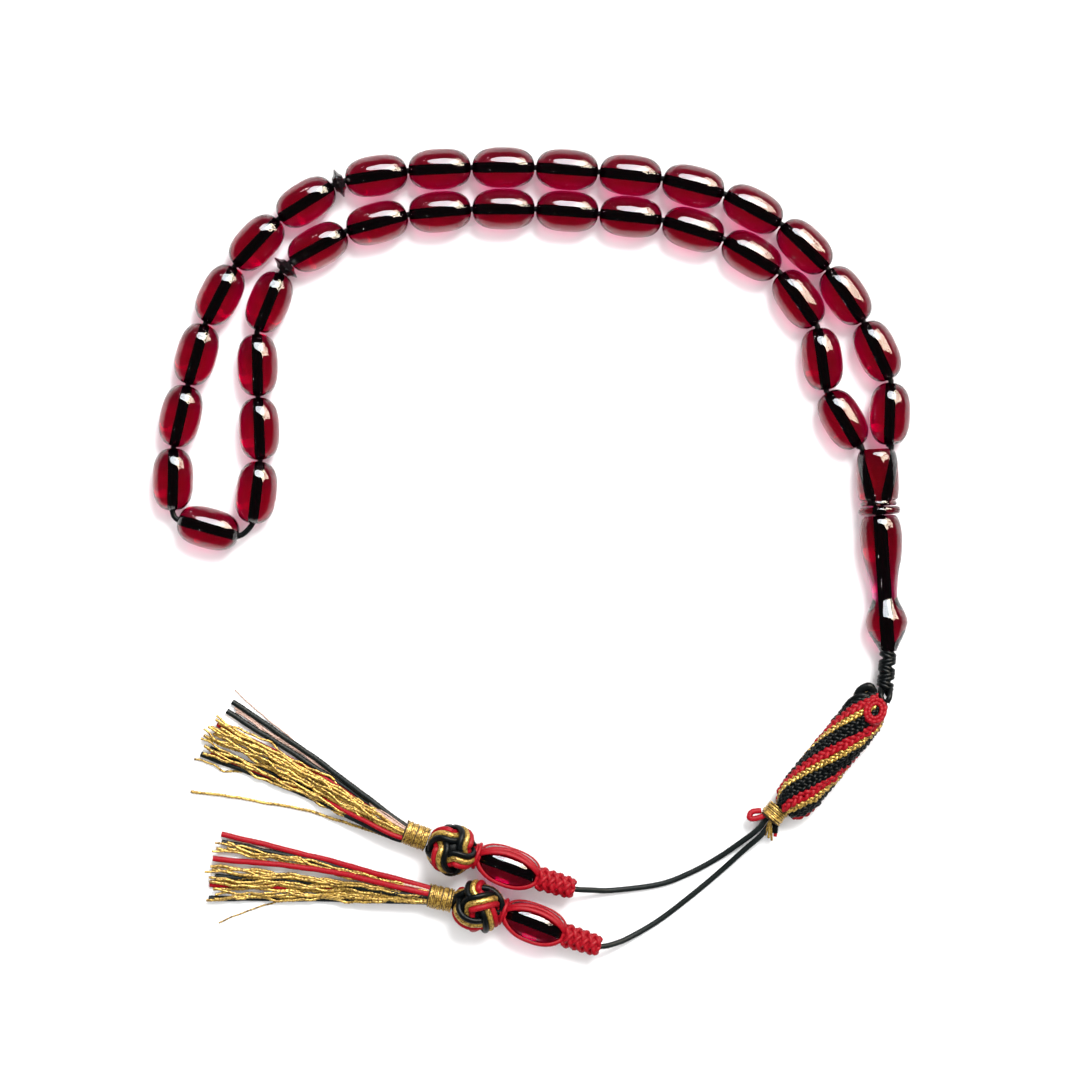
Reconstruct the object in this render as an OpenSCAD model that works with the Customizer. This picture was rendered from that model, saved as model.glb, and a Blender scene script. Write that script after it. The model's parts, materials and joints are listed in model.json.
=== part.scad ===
// Misbaha: a loop of 33 barrel beads with two separators, a turned head and a corded tail with two tassels.
// Millimetres. It lies on z = 0; the middle of its outline is at x = 0, y = 0.

/* [Beads] */
// Length of one barrel bead
bead_l = 13; // [9:0.1:18]
// Greatest diameter of one barrel bead
bead_d = 8.5; // [6:0.1:12]
// Fullness of the barrel: 2 is an ellipse, 4 is nearly a cylinder
bead_full = 2.6; // [2:0.1:4]
// Free play between two beads on the string
bead_gap = 0.25; // [0.15:0.05:1]

/* [String] */
// Diameter of the string
string_d = 1.2; // [0.6:0.1:1.6]
// How much wider a bore is than the string in it
bore_play = 0.3; // [0.3:0.05:0.8]

/* [Separators] */
// Diameter of a separator at its sharp rim
separator_d = 6.2; // [4:0.1:9]
// Thickness of a separator at its bore
separator_t = 2.3; // [1.2:0.1:4]

/* [Head] */
// Length of the junction bead, where the two ends of the loop meet
junction_l = 11.8; // [9:0.1:16]
// Diameter of the junction bead
junction_d = 8.8; // [7.6:0.1:12]
// Diameter of the thin ring under the junction bead
ring_d = 8.8; // [6:0.1:12]
// Thickness of the thin ring
ring_t = 1.6; // [1:0.1:3]
// Length of the turned shaft
shaft_l = 28.2; // [20:0.1:40]
// Greatest diameter of the turned shaft
shaft_d = 8.8; // [7:0.1:12]

/* [Tail] */
// Length of the knotted neck under the shaft
neck_l = 9.6; // [6:0.1:16]
// Diameter of the knotted neck
neck_d = 3.4; // [3:0.1:5]
// Length of the spiral braid
braid_l = 31; // [18:0.5:45]
// Diameter of the spiral braid
braid_d = 8.6; // [6:0.1:12]
// Length of the wrapping under the braid
wrap_l = 3.4; // [2:0.1:8]
// Diameter of the wrapping under the braid
wrap_d = 4.9; // [3.6:0.1:7]

/* [Tassels] */
// Diameter of the two tassel cords
cord_d = 1.2; // [0.8:0.1:1.6]
// How far the tassel caps lie from the wrapping
cord_reach = 42.5; // [30:0.5:70]
// Length of a tassel cap
cap_l = 7.6; // [4:0.1:12]
// Diameter of a tassel cap
cap_d = 5.5; // [3.6:0.1:8]
// Diameter of the bead inside the cord net
held_d = 7.6; // [5:0.1:11]
// Thickness of the cords of the net
net_t = 0.6; // [0.4:0.1:1.4]
// Diameter of a ball knot
ball_d = 11; // [8:0.1:15]
// Length of the wrapping behind a ball knot
collar_l = 5.4; // [3:0.1:9]
// Diameter of the wrapping behind a ball knot
collar_d = 5; // [3.6:0.1:7]
// Length of a fringe
fringe_l = 45; // [20:0.5:80]
// Width of a fringe at its free end
fringe_w = 14.5; // [7:0.5:20]

/* [Hidden] */
function bead_name(k) = str("bead_", k < 10 ? "0" : "", k);

// Colours of the slots
RESIN = [0.45, 0.02, 0.07];
JET = [0.05, 0.03, 0.03];
BLACK = [0.06, 0.07, 0.07];
RED = [0.75, 0.08, 0.15];
GOLD = [0.80, 0.62, 0.25];

bore_d = string_d + bore_play;

// The way each bead points, in whole degrees, going from the head round to the far end of the loop
outer_ways = [88, 115, 124, 136, 152, 166, 174, 176, 180, 183, 189, 212, 227, 243, 254, 257, 269];
inner_ways = [120, 98, 125, 149, 163, 174, 176, 180, 185, 195, 209, 248, 271, 272, 263];
// A separator follows this many beads of each strand
split = 11;

// The outer strand moves out, and every gap grows, when the beads are fatter than their length calls for
spread = max(0, bead_d - bead_l * 0.655);
play = bead_gap + 0.3 * spread;

// The point in the middle of the junction bead's upper face, and the way it points
head_x = 71.8;
head_y = 21;
head_way = 92;
shaft_way = 93.6;

function u(a) = [cos(a), sin(a)];
function put(p, z) = [p.x, p.y, z];
function seat(o, a, ahead, right) = o + ahead * u(a) + right * u(a - 90);
function gap_after(w, k) = play + (k == split - 1 ? separator_t + play : 0)
    + (k == split - 1 ? 0.15 : 0.5) * bead_d * (1 - cos(w[k + 1] - w[k]));
function mean_way(w, k) = (w[k] + w[k + 1]) / 2;
// The point where each bead of a strand begins
function begins(s, w) = [for (k = 0, p = s; k < len(w);
    p = k + 1 < len(w) ? p + bead_l * u(w[k]) + gap_after(w, k) * u(mean_way(w, k)) : p, k = k + 1) p];
// Middles of a strand's beads, moved sideways by m
function middles(b, w, m) = [for (k = [0:len(w) - 1]) b[k] + bead_l / 2 * u(w[k]) + m * u(w[k] - 90)];

top = [head_x, head_y];
outer_b = begins(seat(top, head_way, 0.72, 2.43), outer_ways);
inner_b = begins(seat(top, head_way, 0.64, -3.88), inner_ways);
outer_c = middles(outer_b, outer_ways, spread);
inner_c = middles(inner_b, inner_ways, 0);

// Both ends of a bead with its middle at c
function fore(c, a) = c + bead_l / 2 * u(a);
function aft(c, a) = c - bead_l / 2 * u(a);

// The barrel's outline: a superellipse cut by its bore, as [radius, along]
function arc_pts(l, d, full, bore, n) = let (e = acos(pow(bore / d, full / 2)))
    [for (k = [0:n]) let (t = -e + 2 * e * k / n)
        [d / 2 * pow(cos(t), 2 / full), l / 2 * sign(t) * pow(abs(sin(t)), 2 / full)]];
bead_pts = arc_pts(bead_l, bead_d, bead_full, bore_d, 22);
held_pts = arc_pts(bead_l, held_d, bead_full, cord_d + bore_play, 22);

// The far bead closes the loop: it moves away from the strands until it clears both of them
far_o = fore(outer_c[16], outer_ways[16]);
far_i = fore(inner_c[14], inner_ways[14]);
far_line = atan2(far_i.y - far_o.y, far_i.x - far_o.x);
far_way = far_line - 6;
function inside(p, c, a, m) = let (q = p - c, f = abs(q * u(a)), s = abs(q * u(a + 90)))
    pow(f / (bead_l / 2 + m), bead_full) + pow(s / (bead_d / 2 + m), bead_full) < 1;
function hits(c) = [for (t = [0:5:355]) let (p = c
    + (bead_l / 2) * sign(cos(t)) * pow(abs(cos(t)), 2 / bead_full) * u(far_way)
    + (bead_d / 2) * sign(sin(t)) * pow(abs(sin(t)), 2 / bead_full) * u(far_way + 90))
    if (inside(p, outer_c[16], outer_ways[16], 0.2) || inside(p, inner_c[14], inner_ways[14], 0.2)) 1];
function far_at(d) = (far_o + far_i) / 2 - 0.5 * u(far_line) + d * u(far_line - 90);
function far_seek(d) = d > 2 * bead_l || len(hits(far_at(d))) == 0 ? d : far_seek(d + 0.1);
far_c = far_at(far_seek(0));

all_c = concat(outer_c, [far_c], [for (k = [14:-1:0]) inner_c[k]]);
all_w = concat(outer_ways, [far_way + 360], [for (k = [14:-1:0]) inner_ways[k] + 180]);

// Separators sit in the middle of the wide gap after the bead numbered split
function split_c(c, w) = (fore(c[split - 1], w[split - 1]) + aft(c[split], w[split])) / 2;
sep_o = split_c(outer_c, outer_ways);
sep_i = split_c(inner_c, inner_ways);

// Head pieces follow one another down from the top point
junction_c = seat(top, head_way, -junction_l / 2, 0);
junction_end = seat(top, head_way, -junction_l, 0);
ring_c = seat(junction_end, head_way + 1, -0.25 - ring_t / 2, 0);
shaft_top = seat(ring_c, shaft_way, -0.25 - ring_t / 2, 0);
shaft_c = seat(shaft_top, shaft_way, -shaft_l / 2, 0);
shaft_tip = seat(shaft_top, shaft_way, -shaft_l, 0);
bead_z = bead_d / 2;
head_z = max(junction_d, ring_d, shaft_d) / 2;
lane = string_d / 2 + 0.03;
pair_d = 2 * string_d + 0.06 + bore_play;

// Outlines of the head pieces, as [radius, along], from the low end up
junction_pts = [[0, -0.5], [0.4, -0.5], [0.43, -0.47], [0.42, -0.44], [0.40, -0.41], [0.45, -0.385],
    [0.475, -0.33], [0.492, -0.22], [0.5, -0.08], [0.498, 0.08], [0.49, 0.23], [0.475, 0.33],
    [0.455, 0.4], [0.425, 0.45], [0.385, 0.485], [0.33, 0.5], [0, 0.5]];
shaft_pts = [[0.18, -0.5], [0.26, -0.46], [0.33, -0.425], [0.42, -0.37], [0.475, -0.325], [0.498, -0.3],
    [0.494, -0.27], [0.472, -0.24], [0.42, -0.2], [0.355, -0.155], [0.31, -0.12], [0.3, -0.09],
    [0.31, -0.04], [0.35, 0.05], [0.4, 0.12], [0.44, 0.17], [0.475, 0.24], [0.496, 0.3], [0.5, 0.36],
    [0.487, 0.41], [0.46, 0.45], [0.42, 0.48], [0.36, 0.5]];
function grown(p, d, l) = [for (q = p) [q.x * d, q.y * l]];

// Tail pieces, from the shaft's tip down
neck_way = 265;
neck_gap = 0.2;
braid_way = 231;
neck_end = seat(shaft_tip, neck_way, neck_l + neck_gap, 0);
braid_top = seat(neck_end, braid_way, 0.2, 1.1);
braid_end = seat(braid_top, braid_way, braid_l, 0);
wrap_c = seat(braid_end, braid_way, 0.15 + wrap_l / 2, 1.4);
wrap_end = seat(wrap_c, braid_way, wrap_l / 2, 0);
braid_z = braid_d / 2;
wrap_z = max(wrap_d / 2, 3.4);

// Tassel cords: each route as steps from its start on the wrapping, and the height of each step
held_r = held_d / 2 + 0.1 + net_t;
fat = max(0, ball_d - 11) + max(0, held_d + 2 * net_t - 8.8);
cord_k = cord_reach / 42.5;
a_steps = [[0, 0, 3.2], [-1.7, -2.2, 2.9], [-5.1, -4.9, 1.9], [-9.9, -8.3, 0.85], [-15.6, -11.4, 0.62],
    [-22, -13.8, 0.62], [-31.6, -15, 1.2], [-36.2, -14.8, 2.9], [-40, -14.4, 4.3]];
b_steps = [[0, 0, 3.2], [-2.4, -2.9, 2.9], [-5.4, -5.6, 1.9], [-10.6, -10.4, 0.85], [-16.8, -15.6, 0.62],
    [-23.1, -20.4, 0.62], [-28.6, -23.6, 1.3], [-32.2, -25, 2.9], [-35.7, -25.5, 4.3]];
// Room for a cord's end to turn in front of the wrapping, and how far it is from the wrapping's axis
cord_gap = 0.35;
cord_off = 0.68;
a_from = seat(wrap_end, braid_way, cord_gap, cord_off);
b_from = seat(wrap_end, braid_way, cord_gap, -cord_off);
function cord_z(z) = z > 3.4 ? held_r : max(z, cord_d / 2 + 0.02);
function steps(s, from, f) = [for (k = [0:len(s) - 1])
    [from.x + s[k].x * cord_k, from.y + s[k].y * cord_k - f * k / (len(s) - 1), cord_z(s[k].z)]];
a_route = steps(a_steps, a_from, 0);
b_route = steps(b_steps, b_from, fat);

// Tassel pieces follow each cord's last point
function last2(r) = [r[len(r) - 1].x, r[len(r) - 1].y];
cap_ways = [163, 162];
held_ways = [160, 159];
ball_ways = [165, 168];
collar_ways = [160, 168];
fringe_ways = [152, 171];
// Room for a fringe to swing behind its wrapping
fringe_gap = 0.5;
cap_o = [last2(a_route), last2(b_route)];
cap_e = [for (k = [0, 1]) seat(cap_o[k], cap_ways[k], cap_l, 0)];
held_c = [for (k = [0, 1]) seat(cap_e[k], held_ways[k], 0.3 + bead_l / 2, 0)];
held_e = [for (k = [0, 1]) seat(cap_e[k], held_ways[k], 0.5 + bead_l, 0)];
ball_c = [for (k = [0, 1]) seat(held_e[k], ball_ways[k], 0.1 + ball_d / 2, 0)];
ball_e = [for (k = [0, 1]) seat(ball_c[k], collar_ways[k], ball_d / 2 - 0.25, 0)];
collar_c = [for (k = [0, 1]) seat(ball_e[k], collar_ways[k], collar_l / 2, 0)];
collar_e = [for (k = [0, 1]) seat(ball_e[k], collar_ways[k], collar_l + fringe_gap, 0)];
collar_z = max(ball_d / 2 - 1.4, collar_d / 2);

// Middle of the outline, taken from the outermost beads, the head and the lowest tassel
function reach(pts, c, a, way) =
    max([for (q = pts) c * way + abs(q.y * (u(a) * way)) + q.x * abs(u(a + 90) * way)]);
cap_low_pts = [[cap_d * 0.5, -cap_l * 0.22], [cap_d * 0.49, -cap_l * 0.4]];
max_x = max(concat([for (k = [0:32]) reach(bead_pts, all_c[k], all_w[k], [1, 0])],
    [reach(grown(shaft_pts, shaft_d, shaft_l), shaft_c, shaft_way, [1, 0])]));
min_x = -max([for (k = [0:32]) reach(bead_pts, all_c[k], all_w[k], [-1, 0])]);
max_y = max([for (k = [0:32]) reach(bead_pts, all_c[k], all_w[k], [0, 1])]);
min_y = -max(concat([for (k = [0, 1]) held_r - held_c[k].y], [for (k = [0, 1]) ball_d / 2 - ball_c[k].y],
    [for (k = [0, 1]) reach(cap_low_pts, (cap_o[k] + cap_e[k]) / 2, cap_ways[k], [0, -1])]));
shift = [-(min_x + max_x) / 2, -(min_y + max_y) / 2, 0];

// A turned piece with its middle at c, pointing the way a
module turned(c, z, a, pts) {
    translate([c.x, c.y, z])
        rotate([0, 0, a])
            rotate([0, 90, 0])
                rotate_extrude($fn = 64)
                    polygon(pts);
}

// A skin through rings of points, closed at both ends
module skin(rings) {
    n = len(rings[0]);
    m = len(rings);
    polyhedron(points = [for (r = rings) for (p = r) p], convexity = 6,
        faces = concat([[for (k = [0:n - 1]) k]], [[for (k = [n - 1:-1:0]) (m - 1) * n + k]],
            [for (i = [0:m - 2]) for (k = [0:n - 1]) let (a = i * n, b = a + n, j = (k + 1) % n)
                each [[a + k, b + k, b + j], [a + k, b + j, a + j]]]));
}
function unit(v) = v / norm(v);
function tangent(p, k) = unit(p[min(k + 1, len(p) - 1)] - p[max(k - 1, 0)]);
function side(t) = unit(cross(t, [0, 0, 1]));
// One ring of a tube: n points round p, across the tangent t
function ring_at(p, t, r, n) = let (s = side(t), h = cross(s, t))
    [for (k = [0:n - 1]) p + r * (cos(360 * k / n) * s + sin(360 * k / n) * h)];
module tube(p, r, n) {
    skin([for (k = [0:len(p) - 1]) ring_at(p[k], tangent(p, k), r, n)]);
}
// A smooth line through points, m steps to each stretch
function at_least(p, k) = p[max(0, min(len(p) - 1, k))];
function curve(p, m) = concat([for (i = [0:len(p) - 2]) for (j = [0:m - 1]) let (t = j / m,
    a = at_least(p, i - 1), b = p[i], c = p[i + 1], d = at_least(p, i + 2))
    0.5 * (2 * b + t * (c - a) + t * t * (2 * a - 5 * b + 4 * c - d)
        + t * t * t * (3 * b - a - 3 * c + d))],
    [p[len(p) - 1]]);

// The string: up one lane of the head, through every bead, and back down the other lane
function mid(p, q) = (p + q) / 2;
function between(c, w) = [for (k = [0:len(c) - 2]) let (p = fore(c[k], w[k]), q = aft(c[k + 1], w[k + 1]))
    each k == split - 1 ? [p, mid(p, split_c(c, w)), mid(split_c(c, w), q), q] : [mid(p, q)]];
function bend(p0, d0, p1, d1, s) = [for (t = [0:0.2:1])
    (1 + 2 * t) * (1 - t) * (1 - t) * p0 + t * (1 - t) * (1 - t) * s * d0
    + t * t * (3 - 2 * t) * p1 - t * t * (1 - t) * s * d1];
mouth_x = 0.34 * junction_d;
function lane_pts(right) = [put(seat(shaft_tip, shaft_way, 0.1, right), head_z),
    put(seat(shaft_top, shaft_way, 0, right), head_z),
    put(seat(junction_end, head_way, 0.1, right), head_z)];
outer_in = put(seat(top, head_way, 0, mouth_x), head_z);
inner_in = put(seat(top, head_way, 0, -mouth_x), head_z);
far_a = aft(far_c, far_way);
far_b = fore(far_c, far_way);
inner_gaps = between(inner_c, inner_ways);
string_all = concat(lane_pts(lane), [outer_in], [put(aft(outer_c[0], outer_ways[0]), bead_z)],
    [for (p = between(outer_c, outer_ways)) put(p, bead_z)],
    [for (p = bend(far_o, u(outer_ways[16]), far_a, u(far_way), 3)) put(p, bead_z)],
    [for (p = bend(far_b, u(far_way), far_i, -u(inner_ways[14]), 3)) put(p, bead_z)],
    [for (k = [len(inner_gaps) - 1:-1:0]) put(inner_gaps[k], bead_z)],
    [put(aft(inner_c[0], inner_ways[0]), bead_z)], [inner_in],
    [for (k = [2:-1:0]) lane_pts(-lane)[k]]);

module bead(k) {
    color(RESIN)
        translate(shift)
            turned(all_c[k - 1], bead_z, all_w[k - 1], bead_pts);
}

// A separator: a disc that thins from a flat hub round the bore to a narrow edge
hub = 0.45;
edge = 0.18;
module separator(c, w) {
    r = bore_d / 2;
    color(JET)
        translate(shift)
            turned(c, bead_z, mean_way(w, split - 1), [
                [r, -separator_t / 2], [r + hub, -separator_t / 2],
                [separator_d * 0.36, -separator_t * 0.24], [separator_d / 2, -edge / 2],
                [separator_d / 2, edge / 2], [separator_d * 0.36, separator_t * 0.24],
                [r + hub, separator_t / 2], [r, separator_t / 2]]);
}

// The junction bead: a barrel on a small foot, with two bores that meet at its lower face
module junction_bore(right) {
    a = seat(junction_end, head_way, -0.5, right);
    b = seat(top, head_way, 0.5, right * mouth_x / lane);
    way = atan2(b.y - a.y, b.x - a.x);
    translate([a.x, a.y, head_z])
        rotate([0, 0, way])
            rotate([0, 90, 0])
                cylinder(h = norm(b - a), d = bore_d, $fn = 48);
}
module junction_bead() {
    color(RESIN)
        translate(shift)
            difference() {
                turned(junction_c, head_z, head_way, grown(junction_pts, junction_d, junction_l));
                junction_bore(lane);
                junction_bore(-lane);
                turned(seat(junction_end, head_way, 0.6, 0), head_z, head_way,
                    [[0, -0.8], [pair_d / 2, -0.8], [pair_d / 2, 0.8], [0, 0.8]]);
            }
}

module head_ring() {
    r = pair_d / 2;
    color(RESIN)
        translate(shift)
            turned(ring_c, head_z, head_way + 1, [[r, -ring_t / 2], [ring_d * 0.44, -ring_t / 2],
                [ring_d * 0.485, -ring_t * 0.34], [ring_d / 2, 0], [ring_d * 0.485, ring_t * 0.34],
                [ring_d * 0.44, ring_t / 2], [r, ring_t / 2]]);
}

module head_shaft() {
    r = pair_d / 2;
    body = grown(shaft_pts, shaft_d, shaft_l);
    color(RESIN)
        translate(shift)
            turned(shaft_c, head_z, shaft_way, concat(
                [[r, -shaft_l / 2], [max(body[0].x, r + 0.15), body[0].y]],
                [for (k = [1:len(body) - 1]) body[k]],
                [[r, shaft_l / 2]]));
}

module string_loop() {
    color(BLACK)
        translate(shift)
            tube(string_all, string_d / 2, 8);
}

// The knotted neck: three lumps on the pair of strings, with a pointed start that leaves it room to swing,
// then two legs that enter the braid's loop. Its outline is in shares of its radius and its length
neck_pts = [[0, -0.43], [0.14, -0.43], [0.5, -0.375], [0.8, -0.325], [0.95, -0.26], [0.9, -0.19],
    [0.76, -0.15], [0.94, -0.09], [1, 0], [0.92, 0.08], [0.76, 0.13], [0.9, 0.18], [0.96, 0.26], [0.84, 0.36],
    [0.5, 0.43], [0, 0.43]];
leg_from = 0.73;
leg_to = 0.93;
module neck_leg(side) {
    legs = seat(shaft_tip, neck_way, neck_gap + neck_l * leg_from, 0);
    translate([legs.x, legs.y, head_z])
        rotate([0, 0, neck_way])
            rotate([0, 90, 0])
                translate([0, side * neck_d * 0.21, 0])
                    cylinder(h = neck_l * (leg_to - leg_from), d = neck_d * 0.36, $fn = 24);
}
module neck_knots() {
    color(BLACK)
        translate(shift)
            union() {
                turned(seat(shaft_tip, neck_way, neck_gap + neck_l * 0.43, 0), head_z, neck_way,
                    grown(neck_pts, neck_d / 2, neck_l));
                neck_leg(1);
                neck_leg(-1);
            }
}

// The spiral braid: twelve stripes that turn to the right, one full turn in a little under twice its length
stripes = 12;
braid_pitch = 56;
braid_turn = 360 * braid_l / braid_pitch;
// Its thickness along it, as [share of the length, share of the diameter]
braid_form = [[0, 0.42], [0.03, 0.66], [0.08, 0.86], [0.15, 0.97], [0.24, 1], [0.34, 1], [0.44, 1],
    [0.54, 1], [0.64, 1], [0.74, 1], [0.84, 0.97], [0.91, 0.86], [0.96, 0.7], [1, 0.5]];
module spiral_braid() {
    ahead = put(u(braid_way), 0);
    across = put(u(braid_way - 90), 0);
    color(RED)
        translate(shift)
            skin([for (f = braid_form) [for (k = [0:5 * stripes - 1]) let (a = 72 * k / stripes,
                r = braid_d / 2 * f.y * (0.97 + 0.03 * cos(stripes * a)))
                [braid_top.x, braid_top.y, braid_z] + f.x * braid_l * ahead
                + r * (cos(a - braid_turn * f.x) * across + sin(a - braid_turn * f.x) * [0, 0, 1])]]);
}

// A wrapping of thread: close turns with a shallow groove between them
groove = 0.14;
function turns(l, d, n) = [for (k = [0:n - 1]) for (j = [0:2])
    [d / 2 - (j == 1 ? 0 : groove), -l / 2 + l * (k + (j + 0.5) / 3) / n]];
module wrapping(c, z, a, l, d, n) {
    r = d / 2 - 0.3;
    turned(c, z, a, concat([[0, -l / 2], [r, -l / 2]], turns(l, d, n), [[r, l / 2], [0, l / 2]]));
}
module braid_wrap() {
    color(GOLD)
        translate(shift)
            wrapping(wrap_c, wrap_z, braid_way, wrap_l, wrap_d, 8);
}

// A tassel cord: free from the wrapping to its cap, then straight through the cap and the held bead
module tail_cord(r, k) {
    bead_end = seat(held_c[k], held_ways[k], bead_l / 2, 0);
    inner = concat(curve(r, 4), [put(cap_e[k], held_r), put(bead_end, held_r)]);
    color(BLACK)
        translate(shift)
            tube(inner, cord_d / 2, 8);
}

// A crocheted cap: three soft rows on a slight taper, with the cord's bore
module tassel_cap(k) {
    l = cap_l;
    r = cap_d / 2;
    b = (cord_d + bore_play) / 2;
    c = (cap_o[k] + cap_e[k]) / 2;
    color(RED)
        translate(shift)
            turned(c, held_r, cap_ways[k], [
                [b, -l * 0.5 + 0.15], [r * 0.6, -l * 0.5 + 0.15], [r * 0.8, -l * 0.44], [r * 0.88, -l * 0.34],
                [r * 0.8, -l * 0.26], [r * 0.82, -l * 0.2], [r * 0.96, -l * 0.12], [r * 0.98, -l * 0.02],
                [r * 0.88, l * 0.06], [r * 0.9, l * 0.12], [r, l * 0.22], [r, l * 0.32], [r * 0.92, l * 0.42],
                [r * 0.7, l * 0.5], [b, l * 0.5]]);
}

module tassel_bead(k) {
    color(RESIN)
        translate(shift)
            turned(held_c[k], held_r, held_ways[k], held_pts);
}

// The net: straps along the held bead that meet in a collar at each end
net_in = arc_pts(bead_l + 0.2, held_d + 0.2, bead_full, held_d * 0.5, 14);
net_out = arc_pts(bead_l + 0.2 + 0.4, held_d + 0.2 + 2 * net_t, bead_full, held_d * 0.5, 14);
// Where the straps run, counted round from the ground side: 180 is on top
strap_ways = [0, 60, 117, 221, 242, 300];
module strap(k, a, wide) {
    translate([held_c[k].x, held_c[k].y, held_r])
        rotate([0, 0, held_ways[k]])
            rotate([0, 90, 0])
                rotate([0, 0, a - wide / 2])
                    rotate_extrude(angle = wide, $fn = 64)
                        polygon(concat(net_in, [for (j = [14:-1:0]) net_out[j]]));
}
module bead_net(k) {
    color(RED)
        translate(shift)
            union() {
                for (a = strap_ways)
                    strap(k, a, 15);
                turned(held_c[k], held_r, held_ways[k], concat([for (j = [0:3]) net_in[j]],
                    [for (j = [3:-1:0]) net_out[j]]));
                turned(held_c[k], held_r, held_ways[k], concat([for (j = [11:14]) net_in[j]],
                    [for (j = [14:-1:11]) net_out[j]]));
            }
}

// A ball knot: a globe with rows of cord round it
module ball_knot(k) {
    r = ball_d / 2;
    rows = 7;
    span = 148;
    dip = 0.32;
    color(BLACK)
        translate(shift)
            turned(ball_c[k], r, ball_ways[k], concat([[0, -r * 0.97]],
                [for (i = [0:rows - 1]) for (j = [0:2])
                    let (t = span * ((i + j / 3 + 1 / 6) / rows - 0.5), q = j == 1 ? r : r - dip)
                    [q * cos(t), q * sin(t)]],
                [[0, r * 0.97]]));
}

module tassel_wrap(k) {
    color(GOLD)
        translate(shift)
            wrapping(collar_c[k], collar_z, collar_ways[k], collar_l - 0.1, collar_d, 9);
}

// A fringe: a bundle that starts rounded, spreads and sinks to the ground. Its form, as
// [share of the length, share of the width, half its height, how much of the start's height is left]
fringe_form = [[0, 0.1, 1.2, 1], [0.03, 0.31, 2.1, 1], [0.08, 0.32, 2.1, 0.96], [0.2, 0.38, 1.9, 0.8],
    [0.35, 0.47, 1.8, 0.56], [0.5, 0.58, 1.7, 0.32], [0.65, 0.7, 1.6, 0.12], [0.8, 0.84, 1.5, 0],
    [0.92, 0.96, 1.35, 0], [1, 1, 1.1, 0]];
function fringe_wide(f) = max(fringe_w * f.y, collar_d * (f.x == 0 ? 0.5 : 0.9));
module fringe(k) {
    ahead = put(u(fringe_ways[k]), 0);
    across = put(u(fringe_ways[k] - 90), 0);
    color(GOLD)
        translate(shift)
            skin([for (f = fringe_form) [for (j = [0:15]) let (a = 22.5 * j, low = f[2] + 0.03)
                [collar_e[k].x, collar_e[k].y, low + f[3] * max(0, collar_z - low)] + f.x * fringe_l * ahead
                + fringe_wide(f) / 2 * cos(a) * across + f[2] * sin(a) * [0, 0, 1]]]);
}

for (k = [1:33])
    bead(k);
separator(sep_o, outer_ways);  // separator_1
separator(sep_i, inner_ways);  // separator_2
junction_bead();
head_ring();
head_shaft();
string_loop();
neck_knots();
spiral_braid();
braid_wrap();
tail_cord(a_route, 0);  // tail_cord_a
tail_cord(b_route, 1);  // tail_cord_b
tassel_cap(0);  // tassel_cap_a
tassel_cap(1);  // tassel_cap_b
tassel_bead(0);  // tassel_bead_a
tassel_bead(1);  // tassel_bead_b
bead_net(0);  // bead_net_a
bead_net(1);  // bead_net_b
ball_knot(0);  // ball_knot_a
ball_knot(1);  // ball_knot_b
tassel_wrap(0);  // tassel_wrap_a
tassel_wrap(1);  // tassel_wrap_b
fringe(0);  // fringe_a
fringe(1);  // fringe_b
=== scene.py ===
import json
import math
import random

import bpy
import numpy as np
from mathutils import Matrix, Vector


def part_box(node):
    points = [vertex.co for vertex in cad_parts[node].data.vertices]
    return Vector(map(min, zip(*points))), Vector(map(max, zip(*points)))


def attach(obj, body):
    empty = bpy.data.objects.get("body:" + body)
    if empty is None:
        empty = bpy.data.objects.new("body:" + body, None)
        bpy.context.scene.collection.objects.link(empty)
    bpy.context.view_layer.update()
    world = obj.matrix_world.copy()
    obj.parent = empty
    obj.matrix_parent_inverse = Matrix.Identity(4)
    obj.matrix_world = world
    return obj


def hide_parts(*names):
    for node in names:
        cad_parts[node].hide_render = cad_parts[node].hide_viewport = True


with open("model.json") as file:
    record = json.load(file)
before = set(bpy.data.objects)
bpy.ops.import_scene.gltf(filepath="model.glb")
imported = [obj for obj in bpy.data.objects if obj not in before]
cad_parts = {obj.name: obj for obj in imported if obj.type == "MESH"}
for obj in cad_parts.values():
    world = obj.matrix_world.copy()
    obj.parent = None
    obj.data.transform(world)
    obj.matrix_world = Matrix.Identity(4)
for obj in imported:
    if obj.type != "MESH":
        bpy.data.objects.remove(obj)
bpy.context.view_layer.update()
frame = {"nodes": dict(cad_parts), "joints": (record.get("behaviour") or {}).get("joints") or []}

MM = 0.001
UP = Vector((0, 0, 1))
TAU = 2 * math.pi
JOINTS = {j["name"]: j for j in frame["joints"]}
SPINS = {j["child"]: j for j in frame["joints"] if j["name"].startswith("turn_")}


# ---------------------------------------------------------------- camera
def make_camera():
    """Straight down on the laid-out string, as far off as a 120 mm lens needs to take it all in."""
    data = bpy.data.cameras.new("camera")
    data.lens = 120
    data.sensor_width = 36
    data.clip_start = 0.01
    data.clip_end = 20
    camera = bpy.data.objects.new("camera", data)
    bpy.context.scene.collection.objects.link(camera)
    view_width = 224.64 * MM
    bead_height = 4.3 * MM
    aim_x, aim_y = 1.79 * MM, 2.54 * MM
    distance = view_width * data.lens / data.sensor_width
    camera.location = (aim_x, aim_y, distance + bead_height)
    bpy.context.scene.camera = camera


make_camera()


# ---------------------------------------------------------------- materials
def new_material(name):
    material = bpy.data.materials.new(name)
    material.use_nodes = True
    tree = material.node_tree
    return material, tree, tree.nodes["Principled BSDF"]


def node(tree, kind, **values):
    made = tree.nodes.new(kind)
    for key, value in values.items():
        if key in made.inputs:
            made.inputs[key].default_value = value
        else:
            setattr(made, key, value)
    return made


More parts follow.
